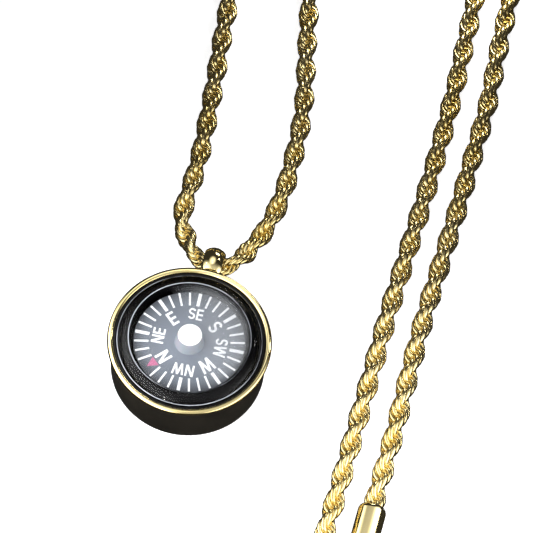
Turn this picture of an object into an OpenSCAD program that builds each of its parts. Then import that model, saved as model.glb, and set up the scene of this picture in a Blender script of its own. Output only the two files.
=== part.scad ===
// A round compass pendant on a doubled rope chain, lying on its flat back.
// The origin is the centre of the back, +Z is up and +Y runs towards the top of the chain.

/* [Case] */
// Height from the flat back to the top of the rim
case_h = 8.2; // [7.5:0.1:10]
// Thickness of the back
back_t = 0.8; // [0.5:0.1:1.4]
// Thickness of the inner gold wall
wall_t = 0.3; // [0.25:0.05:0.8]
// Thickness of the black band at its top
band_t = 0.45; // [0.4:0.05:1]
// How far the band draws in towards the back
band_taper = 0.2; // [0:0.05:0.3]
// Radius of the band's rounded lower edge
band_round = 0.2; // [0.05:0.05:0.22]
// Thickness of the rim's round roll
rim_d = 0.9; // [0.6:0.05:1.2]
// How far the rim stands out past the band
rim_over = 0.45; // [0.2:0.05:0.6]

/* [Bail] */
// Direction of the bail, clockwise from straight up
bail_turn = 8; // [4:1:12]
// Height of the middle of the bail's hole
bail_z = 3.9; // [3.2:0.1:4.2]
// Radius of the hole at its narrowest
bail_hole_r = 1.85; // [1.8:0.05:2.2]
// Thickness of the ring at its middle
bail_t = 1; // [0.8:0.1:1.4]
// How much wider the hole is at its two ends
bail_flare = 0.4; // [0.3:0.05:0.45]
// How far the ring's outside falls away towards its two edges
bail_crown = 0.5; // [0.2:0.05:0.5]
// Width of the ring along the chain
bail_w = 2.8; // [2.2:0.1:3]
// Space between the ring and the band
bail_stand = 0.1; // [0.05:0.05:0.4]
// Radius of the neck that joins the ring to the case
neck_r = 1; // [0.6:0.1:1.3]

/* [Capsule and crystal] */
// Outer diameter of the compass capsule
capsule_d = 19.8; // [18:0.2:24]
// How much further out the dome's edge is than the chamber's wall
chamber_in = 0.1; // [0:0.05:0.3]
// Thickness of the capsule's floor
capsule_floor_t = 2.15; // [1:0.05:3]
// Width of the shoulder between the dome's edge and the capsule's outside
shoulder_w = 1.6; // [1.2:0.1:1.8]
// Height of that edge above the rim
dome_edge_h = 0.7; // [0.5:0.05:1]
// Rise of the dome above its edge
dome_rise = 1.45; // [1.35:0.05:2.4]
// Thickness of the crystal
crystal_t = 0.5; // [0.35:0.05:0.6]
// Radius of the shoulder outside the dome
shoulder_r = 2.2; // [1.9:0.1:3]
// How far inside the dome's edge the shoulder's arc has its centre
shoulder_in = 0.18; // [0.1:0.02:0.3]
// Height of the crystal's skirt below its outer edge
skirt_h = 0.8; // [0.4:0.1:1.2]
// Thickness of the skirt
skirt_t = 0.4; // [0.3:0.05:0.5]

/* [Card and hub] */
// Space between the card's edge and the chamber's wall
card_gap = 0.6; // [0.3:0.05:0.8]
// Thickness of the card
card_t = 0.4; // [0.2:0.05:0.8]
// Depth of the card's face below the rim
card_drop = 0.7; // [0.6:0.05:1.2]
// Diameter of the hub at the card
hub_base_d = 4.1; // [3.6:0.1:5]
// Diameter of the hub's flat top
hub_top_d = 3.25; // [2:0.05:3.5]
// Height of the hub
hub_h = 2.15; // [1.7:0.05:2.2]
// Diameter of the pivot pin
pin_d = 0.8; // [0.5:0.05:1.2]
// How far the pin reaches above the card's face
pin_reach = 1.4; // [0.8:0.1:1.5]
// Diameter of the pin's foot
foot_d = 2.6; // [2:0.1:4]
// Height of the pin's foot
foot_h = 0.6; // [0.3:0.1:1]

/* [Dial] */
// Direction of north, counter-clockwise from +X
north_angle = 219; // [0:1:359]
// Number of divisions
divisions = 32; // [16:8:64]
// Space between the ticks and the card's edge
tick_edge = 0.1; // [0.05:0.05:0.5]
// Length of the ticks
tick_l = 1.95; // [1.4:0.05:2]
// Width of a thick tick
tick_wide = 0.46; // [0.3:0.02:0.6]
// Width of a thin tick
tick_fine = 0.28; // [0.15:0.01:0.35]
// Height of the single letters
letter_h = 2.05; // [1.4:0.05:2.1]
// Height of the letters in pairs
pair_h = 1.7; // [1.2:0.05:1.9]
// Distance from the ticks in to the middles of the single letters
letter_in = 1.35; // [1.25:0.05:1.4]
// Distance from the ticks in to the middles of the pairs
pair_in = 1.25; // [1:0.05:1.4]
// Stroke of the single letters
letter_stroke = 0.34; // [0.2:0.02:0.4]
// Stroke of the letters in pairs
pair_stroke = 0.27; // [0.15:0.01:0.3]
// Width of the north triangle
north_w = 1.45; // [0.8:0.05:1.8]
// Height of the north triangle
north_h = 1.45; // [0.8:0.05:1.8]
// Thickness of the print
print_t = 0.04; // [0.02:0.01:0.1]

/* [Chain] */
// Distance from the case's middle to where the strands fold back
fold_y = 113; // [108:1:140]
// Diameter of the rope chain
rope_d = 3; // [2.6:0.1:3]
// How much thinner the rope is where the bail squeezes it, as a share
rope_squeeze = 0.2; // [0.1:0.05:0.25]
// Diameter of an end cap
cap_d = 3.9; // [3.9:0.1:4.4]
// Length of an end cap
cap_l = 8; // [6:0.5:10]
// Radius of the rounded edge round the cap's mouth
cap_round = 0.9; // [0.3:0.1:0.9]
// How far the rope goes into the cap
cap_grip = 2.8; // [2:0.1:4]
// Radius of an end cap's eye, to the middle of its wire
eye_r = 1.5; // [1.5:0.05:1.7]
// Thickness of the eye's wire
eye_wire_d = 0.8; // [0.6:0.05:0.9]
// Radius of the clasp's round ends, to the middle of its wire
clasp_r = 1.5; // [1.45:0.05:1.6]
// Thickness of the clasp's wire
clasp_wire_d = 0.9; // [0.6:0.05:0.9]

/* [Fits] */
// Space between pieces that fit into each other
fit_gap = 0.05; // [0.03:0.01:0.07]
// Space between pieces that lie on each other
seat_gap = 0.02; // [0.01:0.01:0.04]
// Space behind the rope's end in its cap
end_gap = 0.3; // [0.1:0.1:0.6]

/* [Hidden] */
$fn = 64;
over = 1; // how far a cutter runs past what it cuts

// Radii of the case, from the capsule outwards
capsule_r = capsule_d / 2;
bore_r = capsule_r + fit_gap;
wall_r = bore_r + wall_t;
band_in_r = wall_r + fit_gap;
band_r = band_in_r + band_t;
roll_r = rim_d / 2;
roll_at = band_r + rim_over - roll_r;
roll_z = case_h - roll_r;
flange_z = case_h - rim_d;
band_top = flange_z - fit_gap;

// Bail, in the plane that looks along its hole
bail_r = bail_hole_r + bail_t;
bail_at = band_r + bail_stand + bail_r;
// The ring's section is a lens between two arcs of these radii, cut to the ring's width
function arc_r(wide, high) = (wide * wide / 4 + high * high) / (2 * high);
flare_r = arc_r(bail_w, bail_flare);
crown_r = arc_r(bail_w, bail_crown);

// Crystal, as radius and height
dome_edge_r = capsule_r - shoulder_w;
dome_edge_z = case_h + dome_edge_h;
dome_r = (dome_edge_r * dome_edge_r + dome_rise * dome_rise) / (2 * dome_rise);
dome_z = dome_edge_z + dome_rise - dome_r;
chamber_r = dome_edge_r - chamber_in;
// The shoulder's arc starts at the dome's edge
shoulder_at = dome_edge_r - shoulder_in;
shoulder_z = dome_edge_z - sqrt(shoulder_r * shoulder_r - shoulder_in * shoulder_in);
lip_z = shoulder_z + sqrt(pow(shoulder_r, 2) - pow(capsule_r - shoulder_at, 2));
skirt_z = lip_z - skirt_h;

// Capsule, card and hub
capsule_z = back_t + fit_gap;
chamber_z = capsule_z + capsule_floor_t;
card_r = chamber_r - card_gap;
card_z = case_h - card_drop;
hub_z = card_z + seat_gap;
pin_r = pin_d / 2;
pin_hole_r = pin_r + fit_gap;
pin_top = card_z + pin_reach;
print_z = card_z + seat_gap / 2;
tick_out_r = card_r - tick_edge;
tick_in_r = tick_out_r - tick_l;

// Chain, end caps and clasp
rope_r = rope_d / 2;
rope_sides = 8;
rope_corner_r = rope_r / cos(180 / rope_sides);
cap_r = cap_d / 2;
cap_bore_r = rope_corner_r + fit_gap;
cap_lift = cap_r - rope_r;
eye_out = cap_l + eye_r - eye_wire_d / 4;
bail_lift = bail_z - rope_r;
// The route's points are drawn for a bail at this place, and the whole route moves with the bail
bail_home = [1.907, 13.567];
bail_middle = bail_at * [sin(bail_turn), cos(bail_turn)];
bail_move = bail_middle - bail_home;

// The chain's route: x, y and how far it is lifted above lying on the surface.
// It starts in the left end cap, and the bail is between the second and the third strand.
route = [
    [20.8, -27.6, cap_lift], [20.8, -24.8, cap_lift], [22.1, -17, 0], [23.6, -8, 0], [25.1, 1, 0],
    [26.6, 10, 0], [28.3, 19, 0], [30, 28, 0], [31.6, 37, 0], [33, 46, 0], [34.1, 55, 0],
    [35.1, 64, 0], [36, 74, 0], [36.7, 83.5, 0], [37.2, 93, 0], [37.5, 103, 0], [37.5, fold_y, 0],
    [35.7, fold_y + 6.6, 0], [30.9, fold_y + 11.5, 0], [24.3, fold_y + 13.3, 0],
    [17.6, fold_y + 11.5, 0], [12.8, fold_y + 6.6, 0],
    [11, fold_y, 0], [11, 103, 0], [11, 93, 0], [11.1, 83.5, 0], [11.1, 74, 0], [11.3, 64.5, 0],
    [11.5, 57, 0], [11.8, 50, 0], [12.1, 43.5, 0], [11.9, 37.5, 0], [11.3, 32.5, 0],
    [10.7, 28.6, 0], [10, 25.6, 0], [8.4, 21.2, 0], [7.1, 18.7, 0.3], [6.35, 17.2, 0.9],
    [5.75, 16.1, 1.5], [5.1, 15.1, 2], [4.2, 14.2, 2.35], [3.1, 13.6, bail_lift],
    [1.8, 13.45, bail_lift], [0.6, 14, bail_lift], [-0.4, 15.2, 2.1], [-1.2, 16.75, 1.4],
    [-2, 18.6, 0.6], [-2.7, 20.4, 0.1], [-3.1, 22.6, 0], [-2.7, 25.6, 0], [-2.1, 29, 0],
    [-1.6, 32.5, 0], [-1.2, 37.5, 0], [-0.8, 43.5, 0], [-0.5, 50, 0], [-0.1, 57, 0],
    [0.3, 64.5, 0], [0.7, 74, 0], [0.9, 83.5, 0], [1.1, 93, 0], [1.1, 103, 0], [1.1, fold_y, 0],
    [2.7, fold_y + 7.9, 0], [7.1, fold_y + 14.6, 0], [13.8, fold_y + 19.1, 0],
    [21.8, fold_y + 20.6, 0], [29.7, fold_y + 19.1, 0], [36.4, fold_y + 14.6, 0],
    [40.8, fold_y + 7.9, 0],
    [42.4, fold_y, 0], [42.4, 103, 0], [42.2, 93, 0], [41.7, 83.5, 0], [41, 74, 0], [40.1, 64, 0],
    [39, 55, 0], [38.1, 46, 0], [36.6, 37, 0], [35, 28, 0], [33.3, 19, 0], [31.6, 10, 0],
    [30.2, 1, 0], [28.9, -8, 0], [27.6, -15.5, 0], [27.05, -18.9, cap_lift], [26.6, -21.7, cap_lift]
];
path = [for (p = route) [p.x + bail_move.x, p.y + bail_move.y, p.z + rope_r]];
last = len(path) - 1;

function unit(v) = v / norm(v);
function heading(p, i) = unit(p[min(i + 1, len(p) - 1)] - p[max(i - 1, 0)]);
function bearing(v) = atan2(v.y, v.x);

// The rope is squeezed between these two distances from the bail's middle, given as a share
squeeze_from = 5.5;
squeeze_to = 3;
function fullness(q) =
    let (off = norm([q.x, q.y] - bail_middle))
    1 - rope_squeeze * max(0, min(1, (squeeze_from - off) / (squeeze_from - squeeze_to)));

// One ring of the swept tube, with a flat side down
function tube_ring(p, i, r, n) =
    let (t = heading(p, i), s = unit(cross([0, 0, 1], t)), u = cross(t, s))
    let (full_r = r * fullness(p[i]))
    [for (k = [0:n - 1]) let (a = 360 * (k + 0.5) / n) p[i] + full_r * (cos(a) * s + sin(a) * u)];

module tube(p, r, n) {
    m = len(p);
    points = [for (i = [0:m - 1]) each tube_ring(p, i, r, n)];
    sides = [for (i = [0:m - 2], k = [0:n - 1])
        let (a = i * n + k, b = i * n + (k + 1) % n) each [[a, a + n, b], [b, a + n, b + n]]];
    ends = [[for (k = [0:n - 1]) k], [for (k = [n - 1:-1:0]) (m - 1) * n + k]];
    polyhedron(points = points, faces = concat(sides, ends));
}

// A ring of round wire about +Z
module wire_ring(r, wire_r, angle = 360) {
    rotate_extrude(angle = angle) translate([r, 0]) circle(wire_r, $fn = 32);
}

// Places a shape that is drawn along +Z so that it points along a level direction
module lay_along(at, bearing_angle) {
    translate(at) rotate([0, 0, bearing_angle]) rotate([0, 90, 0]) children();
}

// Places the bail's shapes: +Z runs outwards from the case, +Y along the bail's hole
module at_bail(out) {
    rotate([0, 0, -bail_turn]) translate([0, out, bail_z]) rotate([-90, 0, 0]) rotate([0, 0, 90])
        children();
}

module bail_section() {
    intersection() {
        translate([bail_hole_r + flare_r, 0]) circle(flare_r);
        translate([bail_r - crown_r, 0]) circle(crown_r);
        translate([bail_hole_r - over / 2, -bail_w / 2]) square([bail_t + over, bail_w]);
    }
}

module bail() {
    at_bail(bail_at) rotate([90, 0, 0]) rotate_extrude() bail_section();
    neck_from = bore_r + wall_t / 2;
    at_bail(neck_from) cylinder(r = neck_r, h = bail_at - bail_hole_r - bail_t / 3 - neck_from);
}

module case() {
    color("#d9b44c") {
        rotate_extrude() {
            difference() {
                square([wall_r, roll_z]);
                translate([0, back_t]) square([bore_r, roll_z]);
            }
            translate([bore_r, flange_z]) square([roll_at - bore_r, roll_r]);
            translate([roll_at, roll_z]) circle(roll_r);
        }
        bail();
    }
}

module wall_band() {
    foot_r = band_r - band_taper;
    color("#1c1b19") difference() {
        rotate_extrude() {
            polygon([[band_in_r, band_round], [foot_r, band_round], [band_r, band_top],
                     [band_in_r, band_top]]);
            translate([band_in_r, 0]) square([foot_r - band_round - band_in_r, band_round + 0.01]);
            intersection() {
                translate([foot_r - band_round, band_round]) circle(band_round, $fn = 32);
                translate([band_in_r, 0]) square([band_t, band_round + 0.01]);
            }
        }
        at_bail(0) cylinder(r = neck_r + fit_gap, h = bail_at);
    }
}

// The profile under the shoulder's arc, offset inwards, between two radii
module shoulder_profile(inset, from_r, to_r, from_z) {
    intersection() {
        union() {
            translate([shoulder_at, shoulder_z]) circle(shoulder_r - inset);
            translate([from_r, from_z]) square([to_r - from_r, max(0.01, shoulder_z - from_z)]);
        }
        translate([from_r, from_z]) square([to_r - from_r, dome_edge_z]);
    }
}

module capsule() {
    ring_r = capsule_r - skirt_t - fit_gap;
    color("#141416") rotate_extrude() {
        difference() {
            translate([0, capsule_z]) square([capsule_r, skirt_z - seat_gap - capsule_z]);
            translate([0, chamber_z]) square([chamber_r, skirt_z]);
        }
        shoulder_profile(crystal_t + seat_gap, chamber_r, ring_r, skirt_z - seat_gap - 0.01);
    }
}

module crystal() {
    color([0.9, 0.93, 0.95, 0.35]) rotate_extrude() {
        difference() {
            union() {
                intersection() {
                    translate([0, dome_z]) circle(dome_r, $fn = 180);
                    translate([0, skirt_z]) square([dome_edge_r, dome_edge_z]);
                }
                shoulder_profile(0, dome_edge_r - 0.01, capsule_r, skirt_z);
            }
            intersection() {
                translate([0, dome_z]) circle(dome_r - crystal_t, $fn = 180);
                translate([0, skirt_z - over]) square([chamber_r, dome_edge_z]);
            }
            shoulder_profile(crystal_t, chamber_r - 0.01, capsule_r - skirt_t, skirt_z - over);
        }
    }
}

module pivot() {
    color("#b9bcc0") {
        translate([0, 0, chamber_z + seat_gap]) cylinder(d = foot_d, h = foot_h);
        translate([0, 0, chamber_z + seat_gap]) cylinder(r = pin_r, h = pin_top - chamber_z - seat_gap);
    }
}

module card() {
    color("#24262b") translate([0, 0, card_z - card_t]) difference() {
        cylinder(r = card_r, h = card_t);
        translate([0, 0, -over]) cylinder(r = pin_hole_r, h = card_t + 2 * over);
    }
}

module hub() {
    color("#eef0f2") difference() {
        translate([0, 0, hub_z]) cylinder(d1 = hub_base_d, d2 = hub_top_d, h = hub_h - seat_gap);
        translate([0, 0, hub_z - over]) cylinder(r = pin_hole_r, h = pin_top + fit_gap - hub_z + over);
    }
}

// A letter's width as a share of its height
function letter_span(name) = name == "W" ? 0.96 : name == "N" ? 0.68 : 0.52;

// Letters stand on y = 0, centred on x = 0, with height h and stroke w
module letter_n(h, w) {
    half = letter_span("N") / 2 * h;
    slant = 1.15 * w; // the level width of the slanting stroke
    drop = h * w / (2 * half - slant);
    polygon([[-half, 0], [w - half, 0], [w - half, h - drop], [half - slant, 0], [half, 0],
             [half, h], [half - w, h], [half - w, drop], [slant - half, h], [-half, h]]);
}

module letter_e(h, w) {
    wide = letter_span("E") * h;
    mid = (h - w) / 2;
    translate([-wide / 2, 0])
        polygon([[0, 0], [wide, 0], [wide, w], [w, w], [w, mid], [wide, mid], [wide, mid + w],
                 [w, mid + w], [w, h - w], [wide, h - w], [wide, h], [0, h]]);
}

module letter_w(h, w) {
    half = letter_span("W") / 2 * h;
    foot = half * 0.52;
    meet = w / (half - w / 2); // where an outer stroke meets an inner one, as a share of the height
    right = [[foot - w / 2, 0], [foot + w / 2, 0], [half, h], [half - w, h],
             [foot + w / 2 - foot * meet, h * meet], [w / 2, h]];
    left = [for (i = [len(right) - 1:-1:0]) [-right[i].x, right[i].y]];
    polygon(concat([[0, h - h * w / (2 * foot)]], right, left));
}

// One edge of an S of two round bowls, at a distance from the middle of its stroke
function s_edge(h, w, away) =
    let (bowl = (h + w) / 4, r = bowl - w / 2)
    concat([for (a = [20:25:270]) [0, h - bowl] + (r + away) * [cos(a), sin(a)]],
           [for (a = [65:-25:-160]) [0, bowl] + (r - away) * [cos(a), sin(a)]]);

module letter_s(h, w) {
    outer = s_edge(h, w, w / 2);
    inner = s_edge(h, w, -w / 2);
    polygon(concat(outer, [for (i = [len(inner) - 1:-1:0]) inner[i]]));
}

module letter(name, h, w) {
    if (name == "N") letter_n(h, w);
    if (name == "E") letter_e(h, w);
    if (name == "S") letter_s(h, w);
    if (name == "W") letter_w(h, w);
}

// The directions clockwise from north, each with its letters
directions = ["N", "NE", "E", "SE", "S", "SW", "W", "NW"];

module direction_mark(name) {
    pair = len(name) == 2;
    h = pair ? pair_h : letter_h;
    w = pair ? pair_stroke : letter_stroke;
    translate([0, tick_in_r - (pair ? pair_in : letter_in) - h / 2]) {
        if (pair) {
            gap = 0.11 * h;
            left = letter_span(name[0]) * h;
            right = letter_span(name[1]) * h;
            all = left + gap + right;
            translate([(left - all) / 2, 0]) letter(name[0], h, w);
            translate([(all - right) / 2, 0]) letter(name[1], h, w);
        } else letter(name, h, w);
    }
}

module dial_marks() {
    color("#f4f6f8") translate([0, 0, print_z]) linear_extrude(print_t) rotate(north_angle - 90) {
        for (i = [1:divisions - 1])
            rotate(-360 * i / divisions) {
                w = i % (divisions / 8) == 0 ? tick_wide : tick_fine;
                translate([-w / 2, tick_in_r]) square([w, tick_out_r - tick_in_r]);
            }
        for (i = [0:7])
            rotate(-45 * i) direction_mark(directions[i]);
    }
}

module north_mark() {
    color("#d2416a") translate([0, 0, print_z]) linear_extrude(print_t) rotate(north_angle - 90)
        translate([0, tick_in_r - 0.1])
            polygon([[-north_w / 2, 0], [north_w / 2, 0], [0, north_h]]);
}

module chain() {
    color("#d9b44c") tube(path, rope_corner_r, rope_sides);
}

// An end cap along +Z with its mouth at z = 0 and a domed end, and its eye level when it is laid down
module end_cap() {
    dome_from = cap_l - cap_r;
    color("#dcb750") {
        difference() {
            rotate_extrude() {
                square([cap_r - cap_round, dome_from]);
                translate([0, cap_round]) square([cap_r, dome_from - cap_round]);
                translate([cap_r - cap_round, cap_round]) intersection() {
                    circle(cap_round);
                    translate([0, -cap_round]) square([cap_round, 2 * cap_round]);
                }
                translate([0, dome_from]) intersection() {
                    circle(cap_r);
                    square(cap_r);
                }
            }
            translate([0, 0, -over]) cylinder(r = cap_bore_r, h = cap_grip + end_gap + over);
        }
        translate([0, 0, eye_out]) rotate([0, 90, 0]) wire_ring(eye_r, eye_wire_d / 2);
    }
}

// Each cap lies along the first or last stretch of the route, with its mouth back along the rope
left_way = unit(path[0] - path[1]);
right_way = unit(path[last] - path[last - 1]);
left_mouth = path[0] - cap_grip * left_way;
right_mouth = path[last] - cap_grip * right_way;
left_eye = left_mouth + eye_out * left_way;
right_eye = right_mouth + eye_out * right_way;

module end_cap_left() {
    lay_along(left_mouth, bearing(left_way)) end_cap();
}

module end_cap_right() {
    lay_along(right_mouth, bearing(right_way)) end_cap();
}

// A long upright link whose round ends go through the two level eyes
module clasp() {
    reach = norm(right_eye - left_eye);
    color("#d9b44c") translate(left_eye) rotate([0, 0, bearing(right_eye - left_eye)]) rotate([90, 0, 0]) {
        translate([clasp_r, 0, 0]) rotate([0, 0, 90]) wire_ring(clasp_r, clasp_wire_d / 2, 180);
        translate([reach - clasp_r, 0, 0]) rotate([0, 0, -90]) wire_ring(clasp_r, clasp_wire_d / 2, 180);
        for (s = [-1, 1])
            translate([clasp_r, s * clasp_r, 0]) rotate([0, 90, 0])
                cylinder(d = clasp_wire_d, h = reach - 2 * clasp_r, $fn = 32);
    }
}

case();
wall_band();
capsule();
crystal();
pivot();
card();
dial_marks();
north_mark();
hub();
chain();
end_cap_left();
end_cap_right();
clasp();
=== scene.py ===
import bpy
import math
from mathutils import Matrix, Vector


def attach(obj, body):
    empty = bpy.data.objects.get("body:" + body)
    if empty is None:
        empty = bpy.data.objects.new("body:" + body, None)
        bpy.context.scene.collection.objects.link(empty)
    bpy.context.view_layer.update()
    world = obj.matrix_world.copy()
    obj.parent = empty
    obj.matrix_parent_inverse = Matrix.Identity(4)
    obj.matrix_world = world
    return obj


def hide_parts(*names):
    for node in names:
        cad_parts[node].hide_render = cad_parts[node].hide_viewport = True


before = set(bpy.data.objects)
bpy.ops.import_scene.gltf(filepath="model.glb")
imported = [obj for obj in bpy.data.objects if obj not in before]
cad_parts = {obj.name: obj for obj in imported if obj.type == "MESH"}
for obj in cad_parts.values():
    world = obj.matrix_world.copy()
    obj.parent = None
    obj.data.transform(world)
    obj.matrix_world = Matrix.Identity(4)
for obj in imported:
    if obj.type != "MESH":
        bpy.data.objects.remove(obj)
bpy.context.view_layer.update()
print("frame loaded:", len(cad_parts), "nodes")

mm = 0.001
mergeWithin = 0.03 * mm  # points nearer than this become one


def hexToLinear(code, alpha=1.0):
    parts = [int(code[i:i + 2], 16) / 255 for i in (1, 3, 5)]
    return [c / 12.92 if c <= 0.04045 else ((c + 0.055) / 1.055) ** 2.4 for c in parts] + [alpha]


def addNode(tree, kind, values=None, links=None, **settings):
    # one node with its settings, its socket values and the sockets it reads from
    node = tree.nodes.new(kind)
    for key, value in settings.items():
        setattr(node, key, value)
    for key, value in (values or {}).items():
        node.inputs[key].default_value = value
    for key, source in (links or {}).items():
        tree.links.new(source, node.inputs[key])
    return node


def newFinish(name):
    finish = bpy.data.materials.new(name)
    finish.use_nodes = True
    finish.node_tree.nodes.clear()
    return finish, finish.node_tree


def rampStops(ramp, stops):
    band = ramp.color_ramp
    while len(band.elements) > 1:
        band.elements.remove(band.elements[-1])
    for i, (place, color) in enumerate(stops):
        stop = band.elements[0] if i == 0 else band.elements.new(place)
        stop.position, stop.color = place, color


def nothingSelected():
    if bpy.context.object and bpy.context.object.mode != "OBJECT":
        bpy.ops.object.mode_set(mode="OBJECT")
    bpy.ops.object.select_all(action="DESELECT")


# camera: nearly from above, the picture turned a little
cameraSet = {
    "target": (9.3 * mm, 16.75 * mm, 0.0),
    "distance": 0.6,
    "elevation": 62.0,
    "roll": 6.1,
    "sensor": 36.0,
    "focal": 4320 / 533 * 36.0,  # 4320 pixels in a picture 533 pixels wide
    "clip": (0.05, 10),
}


def makeCamera(s):
    tilt = math.radians(90 - s["elevation"])
    data = bpy.data.cameras.new("camera")
    data.sensor_width, data.lens = s["sensor"], s["focal"]
    data.clip_start, data.clip_end = s["clip"]
    camera = bpy.data.objects.new("camera", data)
    bpy.context.scene.collection.objects.link(camera)
    back = Vector((0, -math.sin(tilt), math.cos(tilt)))
    turn = Matrix.Rotation(tilt, 4, "X") @ Matrix.Rotation(math.radians(s["roll"]), 4, "Z")
    camera.matrix_world = Matrix.Translation(Vector(s["target"]) + s["distance"] * back) @ turn
    bpy.context.scene.camera = camera


makeCamera(cameraSet)
print("camera placed")

# the rope chain: one link, arrayed along a screw and laid along the route
capLift, bailLift = 0.45, 2.4
foldY = 113
ropeRadius = 1.5

# x, y and lift of the rope's middle, in mm, from the left end cap to the right one
routePoints = [
    (20.8, -27.6, capLift), (20.8, -24.8, capLift), (22.1, -17, 0), (23.6, -8, 0), (25.1, 1, 0),
    (26.6, 10, 0), (28.3, 19, 0), (30, 28, 0), (31.6, 37, 0), (33, 46, 0), (34.1, 55, 0),
    (35.1, 64, 0), (36, 74, 0), (36.7, 83.5, 0), (37.2, 93, 0), (37.5, 103, 0), (37.5, foldY, 0),
    (35.7, foldY + 6.6, 0), (30.9, foldY + 11.5, 0), (24.3, foldY + 13.3, 0),
    (17.6, foldY + 11.5, 0), (12.8, foldY + 6.6, 0),
    (11, foldY, 0), (11, 103, 0), (11, 93, 0), (11.1, 83.5, 0), (11.1, 74, 0), (11.3, 64.5, 0),
    (11.5, 57, 0), (11.8, 50, 0), (12.1, 43.5, 0), (11.9, 37.5, 0), (11.3, 32.5, 0),
    (10.7, 28.6, 0), (10, 25.6, 0), (8.4, 21.2, 0), (7.1, 18.7, 0.3), (6.35, 17.2, 0.9),
    (5.75, 16.1, 1.5), (5.1, 15.1, 2), (4.2, 14.2, 2.35), (3.1, 13.6, bailLift),
    (1.8, 13.45, bailLift), (0.6, 14, bailLift), (-0.4, 15.2, 2.1), (-1.2, 16.75, 1.4),
    (-2, 18.6, 0.6), (-2.7, 20.4, 0.1), (-3.1, 22.6, 0), (-2.7, 25.6, 0), (-2.1, 29, 0),
    (-1.6, 32.5, 0), (-1.2, 37.5, 0), (-0.8, 43.5, 0), (-0.5, 50, 0), (-0.1, 57, 0),
    (0.3, 64.5, 0), (0.7, 74, 0), (0.9, 83.5, 0), (1.1, 93, 0), (1.1, 103, 0), (1.1, foldY, 0),
    (2.7, foldY + 7.9, 0), (7.1, foldY + 14.6, 0), (13.8, foldY + 19.1, 0),
    (21.8, foldY + 20.6, 0), (29.7, foldY + 19.1, 0), (36.4, foldY + 14.6, 0), (40.8, foldY + 7.9, 0),
    (42.4, foldY, 0), (42.4, 103, 0), (42.2, 93, 0), (41.7, 83.5, 0), (41, 74, 0), (40.1, 64, 0),
    (39, 55, 0), (38.1, 46, 0), (36.6, 37, 0), (35, 28, 0), (33.3, 19, 0), (31.6, 10, 0),
    (30.2, 1, 0), (28.9, -8, 0), (27.6, -15.5, 0), (27.05, -18.9, capLift), (26.6, -21.7, capLift),
]

ropeSet = {
    "wire": 0.31,  # radius of a link's wire, mm
    "reach": 1.19,  # from the rope's middle to the middle of the wire, mm
    "stretch": 1.15,  # how much longer than wide a link is
    "flat": 1.4,  # how much wider than thick the wire is
    "turnLength": 9.24,  # length of one whole turn of the lay, mm
    "linksPerTurn": 12,
    "startTurn": 0.0,  # turn of the first link, degrees
    "sides": 16,
    "wireSides": 6,
    "endSpace": 1.6,  # from the rope's end to the first link's middle, mm
    "bailMiddle": (1.907, 13.567),
    "squeeze": 0.2,  # share by which the rope is thinner at the bail
    "squeezeFrom": 5.5,  # from the bail's middle, mm
    "squeezeTo": 3.0,
    "routeSteps": 16,
}


def ropeFullness(s, x, y):
    # full thickness everywhere but close to the bail, where the chain is bent and squeezed
    off = math.hypot(x - s["bailMiddle"][0], y - s["bailMiddle"][1])
    near = (s["squeezeFrom"] - off) / (s["squeezeFrom"] - s["squeezeTo"])
    return 1 - s["squeeze"] * max(0.0, min(1.0, near))


def makeRoute(s):
    curve = bpy.data.curves.new("ropeRoute", "CURVE")
    curve.dimensions, curve.resolution_u, curve.twist_mode = "3D", s["routeSteps"], "Z_UP"
    curve.use_radius = True
    spline = curve.splines.new("BEZIER")
    spline.bezier_points.add(len(routePoints) - 1)
    for point, (x, y, lift) in zip(spline.bezier_points, routePoints):
        point.co = (x * mm, y * mm, (lift + ropeRadius) * mm)
        point.handle_left_type = point.handle_right_type = "AUTO"
        point.radius = ropeFullness(s, x, y)
    route = bpy.data.objects.new("ropeRoute", curve)
    bpy.context.scene.collection.objects.link(route)
    bpy.context.view_layer.update()
    return route, spline.calc_length()


def makeRope(s):
    route, length = makeRoute(s)
    nothingSelected()
    bpy.ops.mesh.primitive_torus_add(
        rotation=(math.pi / 2, 0, 0), major_segments=s["sides"], minor_segments=s["wireSides"],
        major_radius=s["reach"] * mm, minor_radius=s["wire"] * mm)
    rope = bpy.context.object
    rope.name = "rope_chain"
    bpy.ops.object.transform_apply(location=True, rotation=True, scale=True)
    # a link is a little longer than wide, and the first one is set to its turn and place
    bpy.ops.object.mode_set(mode="EDIT")
    bpy.ops.mesh.select_all(action="SELECT")
    bpy.ops.transform.resize(value=(s["stretch"], s["flat"], 1), center_override=(0, 0, 0))
    bpy.ops.transform.rotate(
        value=math.radians(s["startTurn"]), orient_axis="X", center_override=(0, 0, 0))
    bpy.ops.transform.translate(value=(s["endSpace"] * mm, 0, 0))
    bpy.ops.object.mode_set(mode="OBJECT")
    bpy.ops.object.shade_smooth()
    # each link stands one step further along the screw than the last
    step = s["turnLength"] / s["linksPerTurn"] * mm
    count = int((length - 2 * s["endSpace"] * mm) / step) + 1
    screw = bpy.data.objects.new("ropeStep", None)
    bpy.context.scene.collection.objects.link(screw)
    screw.location = (step, 0, 0)
    screw.rotation_euler = (2 * math.pi / s["linksPerTurn"], 0, 0)
    row = rope.modifiers.new("links", "ARRAY")
    row.count, row.use_relative_offset = count, False
    row.use_object_offset, row.offset_object = True, screw
    bpy.ops.object.modifier_apply(modifier="links")
    lay = rope.modifiers.new("lay", "CURVE")
    lay.object, lay.deform_axis = route, "POS_X"
    bpy.ops.object.modifier_apply(modifier="lay")
    for helper in (route, screw):
        bpy.data.objects.remove(helper)
    print("rope laid:", count, "links,", round(length / mm, 1), "mm,", len(rope.data.polygons), "faces")
    return rope


rope = makeRope(ropeSet)
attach(rope, "pendant")
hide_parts("chain")


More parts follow.
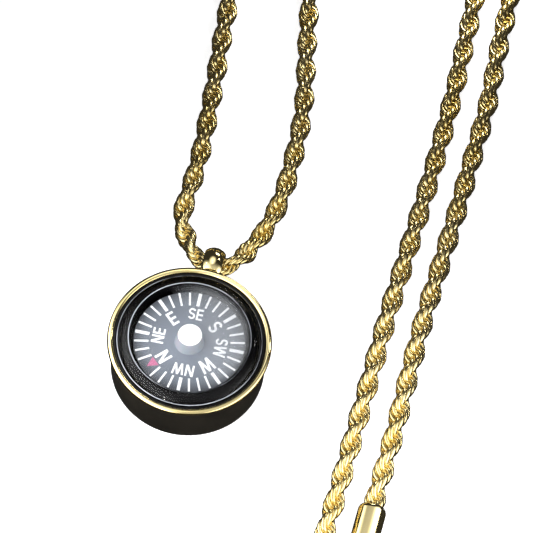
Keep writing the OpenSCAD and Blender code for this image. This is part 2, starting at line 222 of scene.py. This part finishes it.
def makeRoll(name, s, radius, height):
    # a thin ring of round wire, pressed a little flat
    nothingSelected()
    bpy.ops.mesh.primitive_torus_add(
        location=(0, 0, height * mm), major_segments=s["sides"], minor_segments=s["wireSides"],
        major_radius=radius * mm, minor_radius=s["wire"] * mm)
    roll = bpy.context.object
    roll.name = name
    bpy.ops.object.transform_apply(location=True, rotation=True, scale=True)
    bpy.ops.object.mode_set(mode="EDIT")
    bpy.ops.mesh.select_all(action="SELECT")
    bpy.ops.transform.resize(value=(1, 1, s["press"]), center_override=(0, 0, height * mm))
    bpy.ops.object.mode_set(mode="OBJECT")
    bpy.ops.object.shade_smooth()
    return roll


# the gold case with its bail: a turned cup with a rolled rim, and a soldered ring of half-round section
caseSet = {
    "wallR": 10.25, "boreR": 9.95, "backT": 0.8, "backEdge": 0.12, "flangeZ": 7.3,
    "rollR": 10.75, "rollZ": 7.75, "roll": 0.45, "rollSteps": 20, "rollFrom": -90, "rollSweep": 270,
    "steps": 160, "axisR": 0.01,
    "bailTurn": 8.0, "bailOut": 13.7, "bailZ": 3.9, "bailHole": 1.85, "bailOuter": 2.85,
    "bailWidth": 2.8, "bailCrown": 0.6, "bailFlare": 0.3, "bailSteps": 14, "ringSteps": 96,
    "neck": 1.0, "neckFrom": 10.1, "neckTo": 11.6, "neckSteps": 48, "neckBevel": 0.12,
    "smoothUpTo": 40,  # edges sharper than this, in degrees, stay crisp
}


def latheProfile(name, profile, steps):
    # a circle drawn out ring by ring along a profile of radius and height in mm, merged where it closes
    nothingSelected()
    radius, height = profile[0]
    bpy.ops.mesh.primitive_circle_add(
        vertices=steps, radius=radius * mm, location=(0, 0, height * mm), fill_type="NOTHING")
    body = bpy.context.object
    body.name = name
    bpy.ops.object.transform_apply(location=True, rotation=True, scale=True)
    bpy.ops.object.mode_set(mode="EDIT")
    bpy.ops.mesh.select_all(action="SELECT")
    for newRadius, newHeight in profile[1:]:
        bpy.ops.mesh.extrude_region_move()
        share = newRadius / radius
        bpy.ops.transform.resize(value=(share, share, 1), center_override=(0, 0, 0))
        bpy.ops.transform.translate(value=(0, 0, (newHeight - height) * mm))
        radius, height = newRadius, newHeight
    bpy.ops.mesh.select_all(action="SELECT")
    bpy.ops.mesh.remove_doubles(threshold=mergeWithin)
    bpy.ops.mesh.normals_make_consistent(inside=False)
    bpy.ops.object.mode_set(mode="OBJECT")
    return body


def arcAcross(half, rise, steps):
    # places across a shallow arc, each with how far it has fallen from the arc's top
    across = (half ** 2 + rise ** 2) / (2 * rise)
    sweep = math.asin(half / across)
    angles = [sweep * (2 * i / steps - 1) for i in range(steps + 1)]
    return [(across * math.sin(angle), across * (1 - math.cos(angle))) for angle in angles]


def makeCase(s):
    roll = []
    for i in range(s["rollSteps"] + 1):
        angle = math.radians(s["rollFrom"] + s["rollSweep"] * i / s["rollSteps"])
        roll.append((s["rollR"] + s["roll"] * math.cos(angle), s["rollZ"] + s["roll"] * math.sin(angle)))
    profile = [(s["axisR"], 0), (s["wallR"] - s["backEdge"], 0), (s["wallR"], s["backEdge"]),
               (s["wallR"], s["flangeZ"])] + roll
    profile += [(s["boreR"], s["rollZ"]), (s["boreR"], s["backT"]), (s["axisR"], s["backT"])]
    body = latheProfile("case_cup", profile, s["steps"])
    # the bail's ring: a bore that opens towards its ends, and an outside that is round across as well
    half = s["bailWidth"] / 2
    bore = arcAcross(half, s["bailFlare"], s["bailSteps"])
    outside = arcAcross(half, s["bailCrown"], s["bailSteps"])
    section = [(s["bailHole"] + fall, out) for out, fall in bore]
    section += [(s["bailOuter"] - fall, -out) for out, fall in outside]
    ring = latheProfile("bail_ring", section + section[:1], s["ringSteps"])
    turn = math.radians(-s["bailTurn"])
    way = Vector((-math.sin(turn), math.cos(turn), 0))
    ring.rotation_euler = (0, math.pi / 2, turn)
    ring.location = way * s["bailOut"] * mm + Vector((0, 0, s["bailZ"] * mm))
    # the neck is a short round bar with softened edges
    nothingSelected()
    bpy.ops.mesh.primitive_cylinder_add(
        vertices=s["neckSteps"], radius=s["neck"] * mm, depth=(s["neckTo"] - s["neckFrom"]) * mm)
    neck = bpy.context.object
    bpy.ops.object.mode_set(mode="EDIT")
    bpy.ops.mesh.select_all(action="SELECT")
    bpy.ops.mesh.bevel(offset=s["neckBevel"] * mm, segments=3, affect="EDGES")
    bpy.ops.object.mode_set(mode="OBJECT")
    neck.rotation_euler = (math.pi / 2, 0, turn)
    neck.location = way * (s["neckFrom"] + s["neckTo"]) / 2 * mm + Vector((0, 0, s["bailZ"] * mm))
    nothingSelected()
    for part in (ring, neck, body):
        part.select_set(True)
    bpy.context.view_layer.objects.active = body
    bpy.ops.object.join()
    bpy.ops.object.transform_apply(location=True, rotation=True, scale=True)
    bpy.ops.object.shade_smooth_by_angle(angle=math.radians(s["smoothUpTo"]))
    print("case turned:", len(body.data.polygons), "faces")
    return body


case = makeCase(caseSet)
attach(case, "pendant")
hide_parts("case")

# a black ring in the step between the crystal and the rim: painted shade that stands for the shadowed gap
# there
shadeRingSet = {"radius": 10.13, "height": 7.76, "wire": 0.22, "press": 0.6, "sides": 128, "wireSides": 12}

shadeRing = makeRoll("capsule_shade_ring", shadeRingSet, shadeRingSet["radius"], shadeRingSet["height"])
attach(shadeRing, "pendant")

# the crystal's two moulded edges: thin rolls at the dome and at the rim, whose pale colour is a painted
# highlight line all round
edgeSet = {"dome": (8.33, 8.9), "outer": (9.84, 8.02), "wire": 0.06, "press": 0.7, "sides": 128,
           "wireSides": 8}

domeEdge = makeRoll("crystal_dome_edge", edgeSet, *edgeSet["dome"])
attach(domeEdge, "pendant")
outerEdge = makeRoll("crystal_outer_edge", edgeSet, *edgeSet["outer"])
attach(outerEdge, "pendant")
print("crystal's edges rolled")

# gold plating on brass, polished: a warm mirror with hair-fine scratches that only soften the glints
goldSet = {"base": "#f4e4ae", "worn": "#ecd896", "rough": (0.08, 0.16), "cloud": 160, "scratch": 2500,
           "tone": (0.35, 0.7)}  # where the noise passes from one colour to the other


def makeGold(name, s):
    finish, tree = newFinish(name)
    place = addNode(tree, "ShaderNodeTexCoord")
    cloud = addNode(tree, "ShaderNodeTexNoise", {"Scale": s["cloud"], "Detail": 3.0},
                    {"Vector": place.outputs["Object"]})
    tone = addNode(tree, "ShaderNodeValToRGB", links={"Fac": cloud.outputs["Fac"]})
    rampStops(tone, [(s["tone"][0], hexToLinear(s["base"])), (s["tone"][1], hexToLinear(s["worn"]))])
    fine = addNode(tree, "ShaderNodeTexNoise", {"Scale": s["scratch"], "Detail": 2.0},
                   {"Vector": place.outputs["Object"]})
    rough = addNode(tree, "ShaderNodeMapRange", {"To Min": s["rough"][0], "To Max": s["rough"][1]},
                    {"Value": fine.outputs["Fac"]})
    shader = addNode(tree, "ShaderNodeBsdfPrincipled", {"Metallic": 1.0},
                     {"Base Color": tone.outputs["Color"], "Roughness": rough.outputs["Result"]})
    addNode(tree, "ShaderNodeOutputMaterial", links={"Surface": shader.outputs["BSDF"]})
    return finish


polishedGold = makeGold("goldPlatingPolished", goldSet)
ropeGold = makeGold("goldPlatingRope", {**goldSet, "base": "#f6e2a6", "worn": "#ecd388",
                                        "rough": (0.22, 0.3)})

# black enamel, baked on: dark and smooth, with a low gloss that gathers in broad soft streaks
enamelSet = {"base": "#15130f", "thin": "#1f1c17", "rough": (0.26, 0.36), "cloud": 220,
             "tone": (0.3, 0.75), "ior": 1.5, "gloss": 0.25}


def makeEnamel(s):
    finish, tree = newFinish("blackEnamelBaked")
    place = addNode(tree, "ShaderNodeTexCoord")
    cloud = addNode(tree, "ShaderNodeTexNoise", {"Scale": s["cloud"], "Detail": 4.0},
                    {"Vector": place.outputs["Object"]})
    tone = addNode(tree, "ShaderNodeValToRGB", links={"Fac": cloud.outputs["Fac"]})
    rampStops(tone, [(s["tone"][0], hexToLinear(s["base"])), (s["tone"][1], hexToLinear(s["thin"]))])
    rough = addNode(tree, "ShaderNodeMapRange", {"To Min": s["rough"][0], "To Max": s["rough"][1]},
                    {"Value": cloud.outputs["Fac"]})
    shader = addNode(tree, "ShaderNodeBsdfPrincipled", {"IOR": s["ior"], "Specular IOR Level": s["gloss"]},
                     {"Base Color": tone.outputs["Color"], "Roughness": rough.outputs["Result"]})
    addNode(tree, "ShaderNodeOutputMaterial", links={"Surface": shader.outputs["BSDF"]})
    return finish


blackEnamel = makeEnamel(enamelSet)

# ABS, moulded in a polished mould and black all through: deep black with a clean gloss
absSet = {"base": "#060607", "flow": "#0b0b0d", "rough": 0.08, "cloud": 300,
          "tone": (0.35, 0.7), "ior": 1.53, "gloss": 0.12}


def makeAbs(s):
    finish, tree = newFinish("absBlackMoulded")
    place = addNode(tree, "ShaderNodeTexCoord")
    cloud = addNode(tree, "ShaderNodeTexNoise", {"Scale": s["cloud"], "Detail": 2.0},
                    {"Vector": place.outputs["Object"]})
    tone = addNode(tree, "ShaderNodeValToRGB", links={"Fac": cloud.outputs["Fac"]})
    rampStops(tone, [(s["tone"][0], hexToLinear(s["base"])), (s["tone"][1], hexToLinear(s["flow"]))])
    shader = addNode(tree, "ShaderNodeBsdfPrincipled", {
        "IOR": s["ior"], "Roughness": s["rough"], "Specular IOR Level": s["gloss"]},
        {"Base Color": tone.outputs["Color"]})
    addNode(tree, "ShaderNodeOutputMaterial", links={"Surface": shader.outputs["BSDF"]})
    return finish


blackAbs = makeAbs(absSet)

# acrylic, moulded clear: it lets the dial through and lays a thin sheen of the lights over it, with a
# painted glare on the dome: a pale diffuse veil, stronger towards one side
acrylicSet = {
    "tint": "#ffffff", "rough": 0.03, "ior": 1.49, "sheen": 0.11,
    "haze": "#eef2f8", "glareFade": (7.2 * mm, 8.3 * mm), "wisps": 220.0,
    # share of painted glare at the middle, what each metre to the side adds to it, and the most there is
    "glareBase": 0.06, "glareToward": (66, 24, 0), "hazeTo": 0.3,
}


def makeAcrylic(s):
    finish, tree = newFinish("acrylicClearPaintedGlare")
    through = addNode(tree, "ShaderNodeBsdfTransparent", {"Color": hexToLinear(s["tint"])})
    sheen = addNode(tree, "ShaderNodeBsdfGlossy", {"Color": (1, 1, 1, 1), "Roughness": s["rough"]})
    # only the outside is seen to shine, because the inside is too near to it to give a second picture
    share = addNode(tree, "ShaderNodeFresnel", {"IOR": s["ior"]})
    side = addNode(tree, "ShaderNodeNewGeometry")
    shown = addNode(tree, "ShaderNodeMapRange", {"To Min": s["sheen"], "To Max": 0.0},
                    {"Value": side.outputs["Backfacing"]})
    sheenShare = addNode(tree, "ShaderNodeMath", links={
        0: share.outputs["Fac"], 1: shown.outputs["Result"]}, operation="MULTIPLY")
    both = addNode(tree, "ShaderNodeMixShader", links={"Fac": sheenShare.outputs["Value"]})
    tree.links.new(through.outputs["BSDF"], both.inputs[1])
    tree.links.new(sheen.outputs["BSDF"], both.inputs[2])
    # a painted glare: a pale diffuse veil broken by noise, stronger on the side that the glare's direction
    # points to
    place = addNode(tree, "ShaderNodeTexCoord")
    toward = addNode(tree, "ShaderNodeVectorMath", {1: s["glareToward"]}, {0: place.outputs["Object"]},
                     operation="DOT_PRODUCT")
    wisps = addNode(tree, "ShaderNodeTexNoise", {"Scale": s["wisps"], "Detail": 3.0},
                    {"Vector": place.outputs["Object"]})
    hazed = addNode(tree, "ShaderNodeMath", {1: s["glareBase"]}, {0: toward.outputs["Value"]},
                    operation="ADD")
    thick = addNode(tree, "ShaderNodeMath", links={
        0: hazed.outputs["Value"], 1: wisps.outputs["Fac"]}, operation="MULTIPLY")
    # it lies on the dome only, and on its outside only
    level = addNode(tree, "ShaderNodeVectorMath", {1: (1, 1, 0)}, {0: place.outputs["Object"]},
                    operation="MULTIPLY")
    out = addNode(tree, "ShaderNodeVectorMath", links={0: level.outputs["Vector"]}, operation="LENGTH")
    dome = addNode(tree, "ShaderNodeMapRange", {
        "From Min": s["glareFade"][0], "From Max": s["glareFade"][1], "To Min": 1.0, "To Max": 0.0},
        {"Value": out.outputs["Value"]})
    outside = addNode(tree, "ShaderNodeMath", {0: 1.0}, {1: side.outputs["Backfacing"]},
                      operation="SUBTRACT")
    domeShare = addNode(tree, "ShaderNodeMath", links={
        0: thick.outputs["Value"], 1: dome.outputs["Result"]}, operation="MULTIPLY")
    glareShare = addNode(tree, "ShaderNodeMath", links={
        0: domeShare.outputs["Value"], 1: outside.outputs["Value"]}, operation="MULTIPLY")
    limit = addNode(tree, "ShaderNodeClamp", {"Max": s["hazeTo"]}, {"Value": glareShare.outputs["Value"]})
    # painted glare: a pale diffuse layer mixed over the clear acrylic
    paintedGlareVeil = addNode(tree, "ShaderNodeBsdfDiffuse", {"Color": hexToLinear(s["haze"])})
    veiled = addNode(tree, "ShaderNodeMixShader", links={"Fac": limit.outputs["Result"]})
    tree.links.new(both.outputs["Shader"], veiled.inputs[1])
    tree.links.new(paintedGlareVeil.outputs["BSDF"], veiled.inputs[2])
    addNode(tree, "ShaderNodeOutputMaterial", links={"Surface": veiled.outputs["Shader"]})
    return finish


clearAcrylic = makeAcrylic(acrylicSet)

# the crystal's moulded edges: a pale colour that is a painted highlight, standing for the light that such
# an edge gathers
edgeHighlightSet = {"base": "#c3c9d4", "thin": "#23262c", "rough": 0.25, "cloud": 260,
                  "tone": (0.2, 0.9), "ior": 1.49}


def makeEdgeHighlight(name, s):
    # the painted highlight is paler on the side that toward points to, given in shares for each metre:
    # painted light from that side
    finish, tree = newFinish(name)
    place = addNode(tree, "ShaderNodeTexCoord")
    cloud = addNode(tree, "ShaderNodeTexNoise", {"Scale": s["cloud"], "Detail": 3.0},
                    {"Vector": place.outputs["Object"]})
    side = addNode(tree, "ShaderNodeVectorMath", {1: s["toward"]}, {0: place.outputs["Object"]},
                   operation="DOT_PRODUCT")
    pale = addNode(tree, "ShaderNodeMath", links={
        0: cloud.outputs["Fac"], 1: side.outputs["Value"]}, operation="ADD")
    tone = addNode(tree, "ShaderNodeValToRGB", links={"Fac": pale.outputs["Value"]})
    rampStops(tone, [(s["tone"][0], hexToLinear(s["thin"])), (s["tone"][1], hexToLinear(s["base"]))])
    shader = addNode(tree, "ShaderNodeBsdfPrincipled", {"IOR": s["ior"], "Roughness": s["rough"]},
                     {"Base Color": tone.outputs["Color"]})
    addNode(tree, "ShaderNodeOutputMaterial", links={"Surface": shader.outputs["BSDF"]})
    return finish


# painted highlights: the dome edge paler towards the upper left, the outer edge paler towards the near
# side
domeEdgeHighlight = makeEdgeHighlight("domeEdgePaintedHighlight", {**edgeHighlightSet, "toward": (-25, 30, 0)})
outerEdgeHighlight = makeEdgeHighlight("outerEdgePaintedHighlight", {**edgeHighlightSet, "toward": (-10, -30, 0)})

# printed card, satin: dark grey ink, painted lighter towards the middle as a painted glare of the light
# from above
cardSet = {"middle": "#7b828e", "ring": "#656c76", "edge": "#42464d", "rough": 0.5, "radius": 7.6,
           "stops": (0.25, 0.8, 1.0), "grain": 3000.0, "dip": 0.08, "dipHeight": 0.02 * mm, "ior": 1.5}


def makeCard(s):
    finish, tree = newFinish("cardInkPaintedGlare")
    place = addNode(tree, "ShaderNodeTexCoord")
    perRadius = 1 / (s["radius"] * mm)
    flat = addNode(tree, "ShaderNodeMapping", {"Scale": (perRadius, perRadius, 0)},
                   {"Vector": place.outputs["Object"]})
    out = addNode(tree, "ShaderNodeVectorMath", links={0: flat.outputs["Vector"]}, operation="LENGTH")
    # painted glare: the colour runs from light in the middle to dark at the edge
    tone = addNode(tree, "ShaderNodeValToRGB", links={"Fac": out.outputs["Value"]})
    rampStops(tone, [(stop, hexToLinear(s[part])) for stop, part in
                     zip(s["stops"], ("middle", "ring", "edge"))])
    grain = addNode(tree, "ShaderNodeTexNoise", {"Scale": s["grain"], "Detail": 2.0},
                    {"Vector": place.outputs["Object"]})
    dip = addNode(tree, "ShaderNodeBump", {"Strength": s["dip"], "Distance": s["dipHeight"]},
                  {"Height": grain.outputs["Fac"]})
    shader = addNode(tree, "ShaderNodeBsdfPrincipled", {"IOR": s["ior"], "Roughness": s["rough"]},
                     {"Base Color": tone.outputs["Color"], "Normal": dip.outputs["Normal"]})
    addNode(tree, "ShaderNodeOutputMaterial", links={"Surface": shader.outputs["BSDF"]})
    return finish


cardInk = makeCard(cardSet)

# screen-printed ink: flat and even, a little thinner in places
printSet = {"spots": 2600.0, "tone": (0.45, 0.8), "rough": 0.55, "ior": 1.5}


def makePrint(name, s):
    finish, tree = newFinish(name)
    place = addNode(tree, "ShaderNodeTexCoord")
    spots = addNode(tree, "ShaderNodeTexNoise", {"Scale": s["spots"], "Detail": 3.0},
                    {"Vector": place.outputs["Object"]})
    tone = addNode(tree, "ShaderNodeValToRGB", links={"Fac": spots.outputs["Fac"]})
    rampStops(tone, [(s["tone"][0], hexToLinear(s["full"])), (s["tone"][1], hexToLinear(s["thin"]))])
    shader = addNode(tree, "ShaderNodeBsdfPrincipled", {"IOR": s["ior"], "Roughness": s["rough"]},
                     {"Base Color": tone.outputs["Color"]})
    addNode(tree, "ShaderNodeOutputMaterial", links={"Surface": shader.outputs["BSDF"]})
    return finish


whiteInk = makePrint("whiteScreenInk", {**printSet, "full": "#f6f8fb", "thin": "#d9dee4"})
redInk = makePrint("redScreenInk", {**printSet, "full": "#b86a8c", "thin": "#ac6284"})

# polystyrene, moulded milky and soft inside: its flat top is painted white as painted light from above,
# and its sides grey as painted shade
hubSet = {"side": "#9a9fa9", "top": "#ffffff", "rough": 0.25, "ior": 1.59,
          "topHeight": 9.6 * mm, "rise": 0.1 * mm, "milk": 0.4, "milkDepth": 1 * mm}


def makeHub(s):
    finish, tree = newFinish("polystyreneMilkyPaintedLight")
    place = addNode(tree, "ShaderNodeTexCoord")
    axes = addNode(tree, "ShaderNodeSeparateXYZ", links={"Vector": place.outputs["Object"]})
    # painted light and shade: white on the flat top, grey on the sides below it
    rise = addNode(tree, "ShaderNodeMapRange", {
        "From Min": s["topHeight"] - s["rise"], "From Max": s["topHeight"]}, {"Value": axes.outputs["Z"]})
    tone = addNode(tree, "ShaderNodeValToRGB", links={"Fac": rise.outputs["Result"]})
    rampStops(tone, [(0.0, hexToLinear(s["side"])), (1.0, hexToLinear(s["top"]))])
    shader = addNode(tree, "ShaderNodeBsdfPrincipled", {
        "IOR": s["ior"], "Roughness": s["rough"], "Subsurface Weight": s["milk"],
        "Subsurface Scale": s["milkDepth"]}, {"Base Color": tone.outputs["Color"]})
    addNode(tree, "ShaderNodeOutputMaterial", links={"Surface": shader.outputs["BSDF"]})
    return finish


milkyHub = makeHub(hubSet)

# steel, turned bright: a cool grey mirror, dulled unevenly by the tool
steelSet = {"base": "#b9bcc0", "rough": (0.2, 0.35), "cloud": 4000.0}


def makeSteel(s):
    finish, tree = newFinish("steelTurned")
    place = addNode(tree, "ShaderNodeTexCoord")
    cloud = addNode(tree, "ShaderNodeTexNoise", {"Scale": s["cloud"]}, {"Vector": place.outputs["Object"]})
    rough = addNode(tree, "ShaderNodeMapRange", {"To Min": s["rough"][0], "To Max": s["rough"][1]},
                    {"Value": cloud.outputs["Fac"]})
    shader = addNode(tree, "ShaderNodeBsdfPrincipled", {
        "Metallic": 1.0, "Base Color": hexToLinear(s["base"])}, {"Roughness": rough.outputs["Result"]})
    addNode(tree, "ShaderNodeOutputMaterial", links={"Surface": shader.outputs["BSDF"]})
    return finish


turnedSteel = makeSteel(steelSet)

nodeFinishes = {
    "end_cap_left": polishedGold, "end_cap_right": polishedGold,
    "clasp": polishedGold, "wall_band": blackEnamel, "capsule": blackAbs, "crystal": clearAcrylic,
    "card": cardInk, "dial_marks": whiteInk, "north_mark": redInk, "hub": milkyHub, "pivot": turnedSteel,
}
for nodeName, finish in nodeFinishes.items():
    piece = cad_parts[nodeName]
    if not piece.material_slots:
        piece.data.materials.append(finish)
    for place in piece.material_slots:
        place.material = finish
for piece, finish in ((rope, ropeGold), (domeEdge, domeEdgeHighlight), (outerEdge, outerEdgeHighlight),
                      (case, polishedGold), (shadeRing, blackAbs)):
    piece.data.materials.clear()
    piece.data.materials.append(finish)
print("finishes given")

# floor and sky: white paper that glows a little, so that it stays white in the picture
stageSet = {"floor": "#f4f4f4", "floorGlow": 0.85, "floorSize": 6.0, "sky": "#8f8c88", "skyStrength": 0.13,
            "floorDrop": 0.05 * mm}


def makeStage(s):
    nothingSelected()
    bpy.ops.mesh.primitive_plane_add(size=s["floorSize"], location=(0, 0, -s["floorDrop"]))
    floor = bpy.context.object
    floor.name = "floor"
    finish, tree = newFinish("floorPaper")
    shader = addNode(tree, "ShaderNodeBsdfPrincipled", {
        "Base Color": hexToLinear(s["floor"]), "Roughness": 1.0, "Specular IOR Level": 0.0,
        "Emission Color": (1, 1, 1, 1), "Emission Strength": s["floorGlow"]})
    addNode(tree, "ShaderNodeOutputMaterial", links={"Surface": shader.outputs["BSDF"]})
    floor.data.materials.append(finish)
    floor.visible_glossy = False
    world = bpy.data.worlds.new("studio")
    world.use_nodes = True
    back = world.node_tree.nodes["Background"]
    back.inputs["Color"].default_value = hexToLinear(s["sky"])
    back.inputs["Strength"].default_value = s["skyStrength"]
    bpy.context.scene.world = world


# a tent of white cloth over the near half of the object: bright at its sides, darker straight overhead
# and at its near end, and fading out along a slanting far edge
tentSet = {
    "radius": 0.04, "near": -0.12, "far": 0.11, "middle": 0.017, "slant": -0.15,
    "fade": (-0.006, 0.021), "nearFade": (-0.09, -0.05), "glow": 4.1, "nearGlow": 3.0,
    # share of the glow that is left straight overhead, and the heights it falls between, in radii
    "topShare": 0.18, "topFrom": 0.55, "topTo": 0.95,
    "sides": 64, "foot": 0.012,  # the height that the cloth ends at, in metres
}


def makeTent(s):
    nothingSelected()
    depth = s["far"] - s["near"]
    bpy.ops.mesh.primitive_cylinder_add(
        vertices=s["sides"], radius=s["radius"], depth=depth, end_fill_type="NOTHING",
        location=(s["middle"], (s["far"] + s["near"]) / 2, 0), rotation=(math.pi / 2, 0, 0))
    tent = bpy.context.object
    tent.name = "tent"
    bpy.ops.object.transform_apply(location=True, rotation=True, scale=True)
    bpy.ops.object.mode_set(mode="EDIT")
    bpy.ops.mesh.select_all(action="SELECT")
    bpy.ops.mesh.bisect(plane_co=(0, 0, s["foot"]), plane_no=(0, 0, 1), clear_inner=True)
    bpy.ops.object.mode_set(mode="OBJECT")
    finish, tree = newFinish("tentCloth")
    place = addNode(tree, "ShaderNodeTexCoord")
    along = addNode(tree, "ShaderNodeVectorMath", {1: (-s["slant"], 1, 0)},
                    {0: place.outputs["Object"]}, operation="DOT_PRODUCT")
    nearPart = addNode(tree, "ShaderNodeMapRange", {
        "From Min": s["nearFade"][0], "From Max": s["nearFade"][1],
        "To Min": s["nearGlow"], "To Max": s["glow"]},
        {"Value": along.outputs["Value"]}, interpolation_type="SMOOTHSTEP")
    farPart = addNode(tree, "ShaderNodeMapRange", {
        "From Min": s["fade"][0], "From Max": s["fade"][1], "To Min": 1.0, "To Max": 0.0},
        {"Value": along.outputs["Value"]}, interpolation_type="SMOOTHSTEP")
    apart = addNode(tree, "ShaderNodeSeparateXYZ", links={"Vector": place.outputs["Object"]})
    topPart = addNode(tree, "ShaderNodeMapRange", {
        "From Min": s["topFrom"] * s["radius"], "From Max": s["topTo"] * s["radius"],
        "To Min": 1.0, "To Max": s["topShare"]}, {"Value": apart.outputs["Z"]},
        interpolation_type="SMOOTHSTEP")
    lengthPart = addNode(tree, "ShaderNodeMath", links={
        0: nearPart.outputs["Result"], 1: farPart.outputs["Result"]}, operation="MULTIPLY")
    strength = addNode(tree, "ShaderNodeMath", links={
        0: lengthPart.outputs["Value"], 1: topPart.outputs["Result"]}, operation="MULTIPLY")
    light = addNode(tree, "ShaderNodeEmission", links={"Strength": strength.outputs["Value"]})
    clear = addNode(tree, "ShaderNodeBsdfTransparent")
    both = addNode(tree, "ShaderNodeAddShader")
    tree.links.new(light.outputs["Emission"], both.inputs[0])
    tree.links.new(clear.outputs["BSDF"], both.inputs[1])
    addNode(tree, "ShaderNodeOutputMaterial", links={"Surface": both.outputs["Shader"]})
    tent.data.materials.append(finish)
    tent.visible_camera = False


# lamps, which the tent lets through: place and aim in metres. Those with a narrow spread light only the
# compass, bailCard lights the bail, and farBox lights the strands at the upper right
lightSet = {
    "leftWindow": {
        "place": (-0.51, 0.06, 0.46), "aim": (0, 0, 0), "size": (0.1, 0.12), "glow": 16.0, "spread": 8},
    "rightStreak": {
        "place": (0.41, 0.29, 0.34), "aim": (0, 0, 0), "size": (0.06, 0.06), "glow": 45.0, "spread": 8},
    "lowLamp": {
        "place": (-0.21, -0.48, 0.28), "aim": (0, 0, 0), "size": (0.03, 0.03), "glow": 180.0, "spread": 8},
    "dialLamp": {
        "place": (0, 0, 0.5), "aim": (0, 0, 0), "size": (0.2, 0.2), "glow": 3.4, "spread": 12},
    "bailCard": {
        "place": (0.001, 0.021, 0.031), "aim": (0.002, 0.014, 0.005), "size": (0.026, 0.026),
        "glow": 2.6, "spread": 56},
    "farBox": {
        "place": (0.04, 0.103, 0.045), "aim": (0.04, 0.1, 0), "size": (0.04, 0.03),
        "glow": 11.0, "spread": 180},
}


def makeLight(name, s):
    data = bpy.data.lights.new(name, "AREA")
    data.shape, data.size, data.size_y = "RECTANGLE", s["size"][0], s["size"][1]
    # a narrower spread would be brighter from in front, so the power is taken back by its share
    half = math.radians(s["spread"]) / 2
    share = math.sin(half) ** 2 - (half - math.sin(2 * half) / 2) / math.tan(half)
    data.energy = s["glow"] * math.pi * share * s["size"][0] * s["size"][1]
    data.spread = 2 * half
    light = bpy.data.objects.new(name, data)
    bpy.context.scene.collection.objects.link(light)
    light.location = s["place"]
    light.rotation_euler = (Vector(s["aim"]) - Vector(s["place"])).to_track_quat("-Z", "Y").to_euler()
    light.visible_camera = False


makeStage(stageSet)
makeTent(tentSet)
for lightName, settings in lightSet.items():
    makeLight(lightName, settings)
bpy.context.scene.view_settings.view_transform = "Standard"
print("stage lit")
